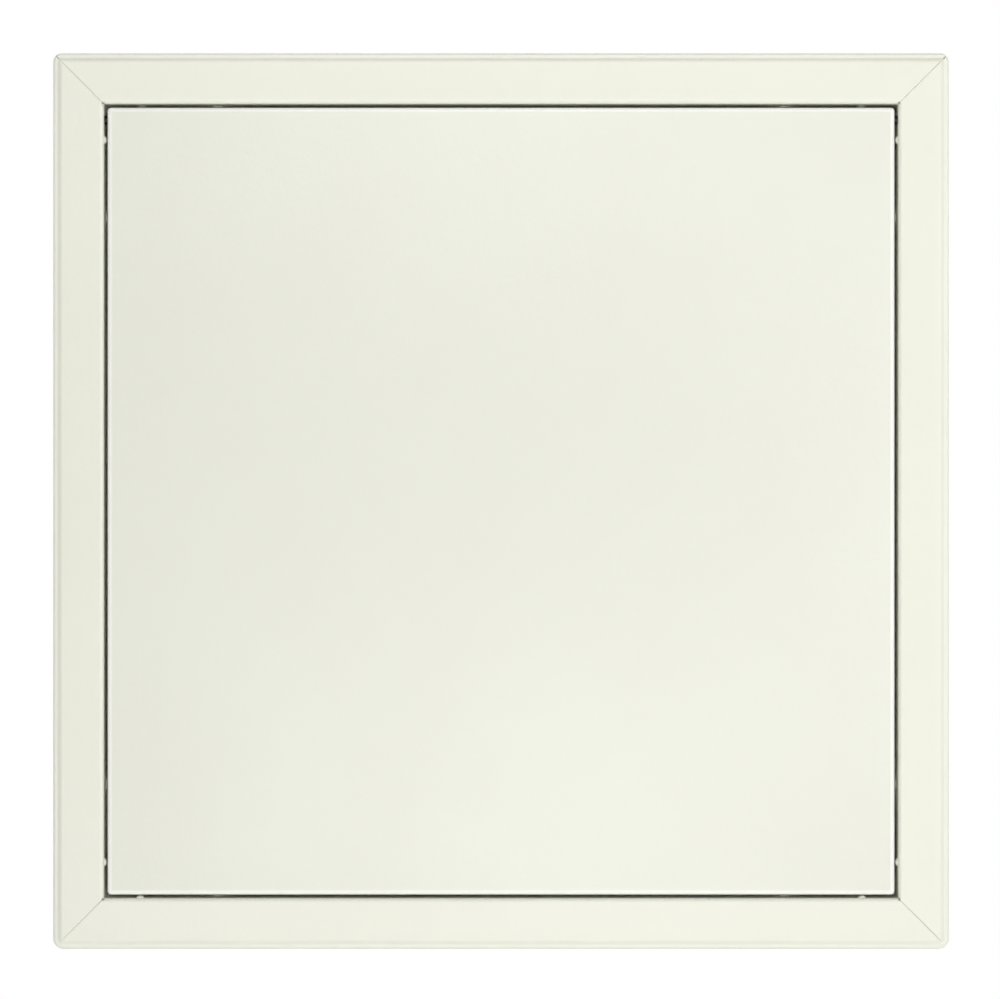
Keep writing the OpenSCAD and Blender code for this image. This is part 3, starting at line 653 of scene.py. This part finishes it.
def cornered_strip(corner_left, corner_right):
    turns = [HALF + BORDER - corner for corner in (corner_left, corner_right)]
    bm = folded_strip(-turns[0], turns[1])
    for end, turn in zip((-1, 1), turns):
        spin_end(bm, end, turn)
    bmesh.ops.recalc_face_normals(bm, faces=bm.faces)
    return bm


# %% [markdown]
# ## Mitres
# The sticks meet on the diagonal, so a plane cuts off what is too long. A second plane that leans a little takes the
# front edge off, and two sticks then leave a fine V between them: one of its sides is lit and the other dark, as on
# the photograph. The V runs out where the slope drops below it. At the upper corners the seam goes on over the rim
# as an open slot, and at the lower corners the rim is smooth.

# %% Mitre the ends of a stick
MITRE_GAP = 0.02 * MM
SEAM_WIDTH, SEAM_DEPTH = 0.22 * MM, 0.45 * MM


def close_cut(bm, plane_co, plane_no):
    """Cuts off what lies beyond a plane and closes the cut."""
    cut = bmesh.ops.bisect_plane(
        bm, geom=whole(bm), dist=TINY / 10, plane_co=plane_co, plane_no=plane_no, clear_outer=True
    )["geom_cut"]
    bmesh.ops.edgeloop_fill(bm, edges=[e for e in cut if isinstance(e, bmesh.types.BMEdge)])


def mitre(piece):
    bm = bmesh.new()
    bm.from_mesh(piece.data)
    foot = (0, FACE_Y + SEAM_DEPTH, MITRE_GAP / math.sqrt(2))
    for end in (-1, 1):
        close_cut(bm, foot, (end, 0, -1))
        close_cut(bm, foot, (end, -math.sqrt(2) * SEAM_WIDTH / SEAM_DEPTH, -1))
    bm.to_mesh(piece.data)
    bm.free()


# %% Slots in the rim
SLOT_FROM, SLOT_TO = 22.0 * MM, 24.6 * MM
SLOT_WIDTH, SLOT_DEPTH = 0.34 * MM, 1.25 * MM


def diagonal_box(bm, across, deep, up, size):
    """Adds a box of (width, depth, length) that points to a corner of the panel."""
    turn = Matrix.Rotation(math.radians(math.copysign(45, across * up)), 4, "Y")
    spot = Matrix.Translation((across, deep, up))
    bmesh.ops.create_cube(bm, size=1.0, matrix=spot @ turn @ Matrix.Diagonal((*size, 1)))


def rim_slots(corner_left, corner_right):
    bm = bmesh.new()
    middle = HALF + (SLOT_FROM + SLOT_TO) / 2
    front, back = FACE_Y - SHEET, RIM_DEEP * MM + SLOT_DEPTH
    size = (SLOT_WIDTH, back - front, math.sqrt(2) * (SLOT_TO - SLOT_FROM))
    for end, corner in ((-1, corner_left), (1, corner_right)):
        if corner == CORNER_TOP:
            diagonal_box(bm, end * middle, (front + back) / 2, middle, size)
    return bm


# %% [markdown]
# ## Holes and clinch bumps
# Screws hold the frame in the ceiling through holes in the jambs, and hinge and latches need holes of their own,
# whose places come from the rigid model. Where a corner cleat is clinched to a jamb, a bump stands in the dark gap
# and shows on the photograph as a small light spot: it is part of a sphere. A small relief hole at each inner corner
# lets the sheet bend there, and shows as a dark notch at the end of the mitre.

# %% Holes and bumps of a stick
JOINTS = {joint["name"]: joint for joint in frame["joints"]}
_, HINGE_Y, HINGE_Z = JOINTS["door_hinge"]["pos_m"]
LATCH_X, _, LATCH_Z = (abs(x) for x in sum(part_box("magnet_right"), Vector()) / 2)
CUTTER = 3 * SHEET
RELIEF_AT, RELIEF_R, RELIEF_CUTTER = HALF + 0.35 * MM, 0.7 * MM, 4 * SHEET
CLINCH_X, CLINCH_BALL, CLINCH_HEIGHT = 177.5 * MM, 2.617 * MM, 1.2 * MM
CLINCH_TOP, CLINCH_REST = 5.5 * MM, -1.5 * MM
FIXING_X, FIXING_DEEP, FIXING_R = 140 * MM, 8 * MM, 2.25 * MM
SCREW_X, SCREW_R = 11 * MM, 1.45 * MM
PLUNGER_R, BUSH_R = 4.6 * MM, 3.0 * MM


def clinch_bumps(deep):
    bm = bmesh.new()
    for end in (-1, 1):
        centre = (end * CLINCH_X, deep, HALF + CLINCH_BALL - CLINCH_HEIGHT)
        bmesh.ops.create_uvsphere(
            bm, u_segments=32, v_segments=24, radius=CLINCH_BALL, matrix=Matrix.Translation(centre)
        )
    bmesh.ops.bisect_plane(
        bm, geom=whole(bm), plane_co=(0, 0, HALF + SHEET / 2), plane_no=(0, 0, 1), clear_outer=True
    )
    bmesh.ops.holes_fill(bm, edges=bm.edges)
    return bm


def through_jamb(x, deep, radius):
    return ((x, deep, HALF + SHEET / 2), (0, 0, 1), radius, CUTTER)


def through_lip(x, radius):
    return ((x, LIP_DEEP * MM + SHEET / 2, LATCH_Z), (0, 1, 0), radius, CUTTER)


def corner_relief(end):
    return ((end * RELIEF_AT, FACE_Y + SHEET, RELIEF_AT), (0, 1, 0), RELIEF_R, RELIEF_CUTTER)


common_holes = [through_jamb(x, FIXING_DEEP, FIXING_R) for x in (-FIXING_X, FIXING_X)]
relief_holes = [corner_relief(-1), corner_relief(1)]
latch_holes = [through_lip(side * LATCH_X, PLUNGER_R) for side in (-1, 1)]
latch_holes += [through_lip(side * LATCH_X + ear, SCREW_R) for side in (-1, 1) for ear in (-SCREW_X, SCREW_X)]
print(len(common_holes + relief_holes), "holes in every stick and", len(latch_holes), "for the latches")

# %% [markdown]
# ## The four sticks
# All sticks are one profile, so the top one is the pattern for all. Each is made at the top, gets its bumps and
# holes while it is still plain, is mitred, and is then turned about Y into its place.

# %% Make the sticks
STICKS = [
    # name, quarter turns, corner radii at its ends, depth of the clinch bumps, its own holes
    ("top", 0, (CORNER_TOP, CORNER_TOP), CLINCH_TOP, []),
    ("right", 1, (CORNER_TOP, CORNER_BOTTOM), CLINCH_REST, [through_jamb(-HINGE_Z, HINGE_Y, BUSH_R)]),
    ("bottom", 2, (CORNER_BOTTOM, CORNER_BOTTOM), CLINCH_REST, latch_holes),
    ("left", 3, (CORNER_BOTTOM, CORNER_TOP), CLINCH_REST, [through_jamb(HINGE_Z, HINGE_Y, BUSH_R)]),
]
for side, quarter, corners, clinch_deep, own_holes in STICKS:
    stick = object_from(cornered_strip(*corners), "frame_stick_" + side, frame_coat)
    combine(stick, clinch_bumps(clinch_deep), "UNION")
    drill(stick, common_holes + own_holes + relief_holes)
    if CORNER_TOP in corners:
        combine(stick, rim_slots(*corners), "DIFFERENCE")
    mitre(stick)
    stick.data.transform(Matrix.Rotation(math.radians(90 * quarter), 4, "Y"))
    shade_sheet(stick)
    place_piece(stick, "frame", "frame_" + side)

# %% [markdown]
# ## The door
# The door is a shallow tray: a flat sheet with four walls folded back and narrow flanges folded in behind. A box
# with all its edges bevelled already has the tray's bends and ball-shaped corners. Insetting its back face marks out
# the flanges, and deleting the middle opens the tray. Where two flanges meet, a slit is left open at each corner.

# %% Fold the door
DOOR, DOOR_DEPTH, _ = door_high - door_low
DOOR_BEND, DOOR_BEND_STEPS, FLANGE = 1.8 * MM, 8, 19.8 * MM
BACK_Y = FACE_Y + DOOR_DEPTH
SLIT_WIDTH, SLIT_DEPTH, SLIT_STOP, SLIT_OVER = 0.5 * MM, 2.4 * MM, 0.4 * MM, 2 * MM


def door_tray():
    bm = bmesh.new()
    bmesh.ops.create_cube(bm, size=1.0)
    bmesh.ops.scale(bm, vec=(DOOR, DOOR_DEPTH, DOOR), verts=bm.verts)
    bmesh.ops.translate(bm, vec=(0, FACE_Y + DOOR_DEPTH / 2, 0), verts=bm.verts)
    bend(bm, bm.edges[:], DOOR_BEND, DOOR_BEND_STEPS)
    back = max(bm.faces, key=lambda f: f.normal.y * f.calc_area())
    bmesh.ops.inset_region(bm, faces=[back], thickness=FLANGE - DOOR_BEND, use_even_offset=True)
    bmesh.ops.delete(bm, geom=[back], context="FACES")
    thicken(bm, FORWARD)
    return bm


def flange_slits():
    bm = bmesh.new()
    reach = math.sqrt(2) * (FLANGE - DOOR_BEND + SLIT_OVER)
    middle = DOOR / 2 - DOOR_BEND - SLIT_STOP - reach / math.sqrt(8)
    for across in (-middle, middle):
        for up in (-middle, middle):
            diagonal_box(bm, across, BACK_Y, up, (SLIT_WIDTH, SLIT_DEPTH, reach))
    return bm


door = object_from(door_tray(), "door_tray", door_coat)
combine(door, flange_slits(), "DIFFERENCE")
print("a tray of", round(DOOR / MM, 1), "mm and", round(DOOR_DEPTH / MM, 1), "mm deep")

# %% Holes of the door
PIN_R = 2.2 * MM
RIVET_X, RIVET_R = 11.5 * MM, 1.55 * MM
DOOR_EDGE = 0.1 * MM
wall_x = door_high.x - SHEET / 2
pin_holes = [((side * wall_x, HINGE_Y, HINGE_Z), (1, 0, 0), PIN_R, CUTTER) for side in (-1, 1)]
rivet_holes = [
    ((side * LATCH_X + ear, BACK_Y - SHEET / 2, -LATCH_Z), (0, 1, 0), RIVET_R, CUTTER)
    for side in (-1, 1) for ear in (-RIVET_X, RIVET_X)
]
drill(door, pin_holes + rivet_holes)
soften(door, DOOR_EDGE)
place_piece(door, "door", "door_leaf")

# %% [markdown]
# ## The foam seal
# A black foam strip lies on the stop lip all round, and the closed door almost touches it. Cut foam is never quite
# straight: its front edges are round and its skin waves a little. A box gets round front edges and many cuts along
# its length, and a slow noise then pushes its front back here and there, never forward, where the door is.

# %% Seal strips
(_, SEAL_FRONT, SEAL_NEAR), (_, LIP_Y, SEAL_FAR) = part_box("gasket_top")
SEAL_ROUND, SEAL_ROUND_STEPS, SEAL_CUTS = 1.2 * MM, 6, 90
RIPPLE, RIPPLE_SCALE = 0.5 * MM, 45
SWAY, SWAY_SCALE = 0.25 * MM, 30
SEALS = [("top", SEAL_FAR), ("right", SEAL_NEAR), ("bottom", SEAL_FAR), ("left", SEAL_NEAR)]


def lengthways(bm, half_length):
    return [e for e in bm.edges if abs(e.verts[0].co.x - e.verts[1].co.x) > half_length]


def seal_strip(half_length, seed):
    bm = bmesh.new()
    bmesh.ops.create_cube(bm, size=1.0)
    size = (2 * half_length, LIP_Y - SEAL_FRONT, SEAL_FAR - SEAL_NEAR)
    bmesh.ops.scale(bm, vec=size, verts=bm.verts)
    bmesh.ops.translate(bm, vec=(0, (LIP_Y + SEAL_FRONT) / 2, (SEAL_FAR + SEAL_NEAR) / 2), verts=bm.verts)
    front = [e for e in lengthways(bm, half_length) if e.verts[0].co.y < SEAL_FRONT + MM]
    bend(bm, front, SEAL_ROUND, SEAL_ROUND_STEPS)
    bmesh.ops.subdivide_edges(bm, edges=lengthways(bm, half_length), cuts=SEAL_CUTS, use_grid_fill=True)
    for v in bm.verts:
        share = (LIP_Y - v.co.y) / (LIP_Y - SEAL_FRONT)
        ripple = 0.5 + 0.5 * noise.noise((v.co.x * RIPPLE_SCALE, v.co.z * RIPPLE_SCALE, seed))
        v.co.y += RIPPLE * ripple * share
        v.co.z += SWAY * share * noise.noise((v.co.x * SWAY_SCALE, seed, 0))
    return bm


for quarter, (side, half_length) in enumerate(SEALS):
    bm = seal_strip(half_length, seed=quarter + 0.5)
    bmesh.ops.rotate(bm, matrix=Matrix.Rotation(math.radians(90 * quarter), 3, "Y"), verts=bm.verts)
    strip = object_from(bm, "seal_" + side, foam)
    place_piece(strip, "frame", "gasket_" + side)

# %% [markdown]
# ## The coil springs
# Spin can also move its profile a little at each step, and then a circle of wire becomes a coil. Each spring has a
# tight turn at both ends, where the wire lies on itself, and open turns between, so the spin runs three times. When
# a pin or plunger moves, the spring gets shorter.

# %% Wind a spring
TURN_STEPS, WIRE_SIDES = 28, 12
END_PITCH = 1.25  # of an end turn, in wire thicknesses


def coil_spring(length, coil_r, wire, turns):
    """Winds a spring along X from the origin."""
    bm = bmesh.new()
    close = END_PITCH * wire
    open_pitch = (length - wire - 2 * close) / (turns - 2)
    first = Matrix.Translation((wire / 2, coil_r, 0))
    bmesh.ops.create_circle(bm, segments=WIRE_SIDES, radius=wire / 2, matrix=first)
    ring = bm.verts[:] + bm.edges[:]
    for count, pitch in ((1, close), (turns - 2, open_pitch), (1, close)):
        ring = bmesh.ops.spin(
            bm, geom=ring, cent=(0, 0, 0), axis=(1, 0, 0), dvec=(pitch / TURN_STEPS, 0, 0),
            angle=math.tau * count, steps=TURN_STEPS * count,
        )["geom_last"]
    bmesh.ops.remove_doubles(bm, verts=bm.verts, dist=TINY / 10)
    bmesh.ops.holes_fill(bm, edges=[e for e in bm.edges if e.is_boundary])
    bmesh.ops.recalc_face_normals(bm, faces=bm.faces)
    return bm


# %% Springs of hinge and latches
pin_slide, plunger_press = JOINTS["pin_slide_right"], JOINTS["plunger_press_right"]
HINGE_COIL_X = pin_slide["deforming_nodes"][0]["fixed_end_x_m"]
HINGE_COIL, HINGE_COIL_R, HINGE_WIRE, HINGE_TURNS = 28.4 * MM, 2.5 * MM, 0.6 * MM, 9
LATCH_COIL_Y = plunger_press["deforming_nodes"][0]["fixed_end_y_m"]
LATCH_COIL, LATCH_COIL_R, LATCH_WIRE, LATCH_TURNS = 15.8 * MM, 3.55 * MM, 0.7 * MM, 7

for side, name in ((-1, "left"), (1, "right")):
    bm = coil_spring(HINGE_COIL, HINGE_COIL_R, HINGE_WIRE, HINGE_TURNS)
    bmesh.ops.scale(bm, vec=(side, 1, 1), verts=bm.verts)
    bmesh.ops.translate(bm, vec=(side * HINGE_COIL_X, HINGE_Y, HINGE_Z), verts=bm.verts)
    bmesh.ops.recalc_face_normals(bm, faces=bm.faces)
    spring = object_from(bm, "hinge_coil_" + name, bright_steel)
    place_piece(spring, "door", "hinge_spring_" + name)
    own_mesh(spring)

    bm = coil_spring(LATCH_COIL, LATCH_COIL_R, LATCH_WIRE, LATCH_TURNS)
    bmesh.ops.rotate(bm, matrix=Matrix.Rotation(math.radians(90), 3, "Z"), verts=bm.verts)
    seat = (side * LATCH_X, LATCH_COIL_Y - LATCH_COIL, -LATCH_Z)
    bmesh.ops.translate(bm, vec=seat, verts=bm.verts)
    spring = object_from(bm, "latch_coil_" + name, bright_steel)
    place_piece(spring, "frame", "latch_spring_" + name)
    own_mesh(spring)

# %% [markdown]
# ## Finishing the rigid pieces
# The small hardware keeps the rigid model's own shapes, which are loose triangles. A Weld modifier joins them, a
# fine Bevel takes the edge off every stamped or moulded corner, and each piece gets the finish of what it is made
# from.

# %% Hardware finishes
WELD = 0.002 * MM
HARDWARE_SHARP = math.radians(30)
HARDWARE = {
    # start of the name: finish, width of the rounded edges
    "corner_cleat": (galvanised, 0.15 * MM),
    "hinge_bracket": (galvanised, 0.15 * MM),
    "strike_plate": (galvanised, 0.12 * MM),
    "strike_rivets": (bright_steel, 0.1 * MM),
    "latch_screws": (bright_steel, 0.08 * MM),
    "hinge_pin": (black_steel, 0.08 * MM),
    "pin_clip": (bright_steel, 0.08 * MM),
    "hinge_bush": (white_nylon, 0.12 * MM),
    "latch_plunger": (white_nylon, 0.15 * MM),
    "latch_housing": (grey_plastic, 0.2 * MM),
    "latch_cap": (grey_plastic, 0.2 * MM),
    "magnet": (nickel, 0.1 * MM),
}
for name, solid in frame["nodes"].items():
    kind = next((k for k in HARDWARE if name.startswith(k)), None)
    if kind:
        finish, edge = HARDWARE[kind]
        solid.data.materials.clear()
        solid.data.materials.append(finish)
        solid.data.polygons.foreach_set("use_smooth", [True] * len(solid.data.polygons))
        weld = solid.modifiers.new("joined", "WELD")
        weld.merge_threshold = WELD
        soften(solid, edge, HARDWARE_SHARP)
        print(name, "is", finish.name)
